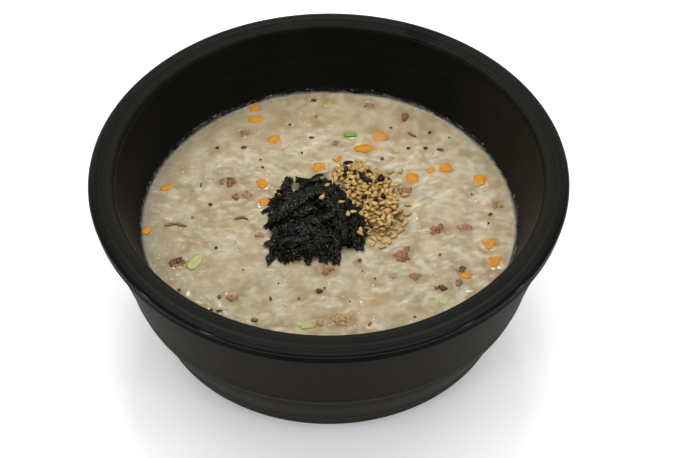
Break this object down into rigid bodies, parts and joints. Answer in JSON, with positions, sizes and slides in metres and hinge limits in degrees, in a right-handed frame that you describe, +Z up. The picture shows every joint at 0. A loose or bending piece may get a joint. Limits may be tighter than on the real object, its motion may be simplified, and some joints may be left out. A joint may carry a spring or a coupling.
{
  "type": "congee bowl",
  "caption": "Thick rice congee with diced vegetables, topped with a heap of torn seaweed and a heap of toasted sesame, in a heavy dark turned bowl.",
  "frame": {"origin": "centre of the bowl's foot, on the surface that it stands on", "axes": "+Z up along the bowl's turned axis, -Y towards whoever eats from it"},
  "size_m": [0.19, 0.19, 0.078],
  "materials": {
    "bowl": "satin",
    "congee": "gloss",
    "seaweed": "satin",
    "sesame": "satin"
  },
  "bodies": {
    "root": {"bowl": "bowl", "congee": "congee", "seaweed_heap": "seaweed", "sesame_heap": "sesame"}
  },
  "joints": []
}
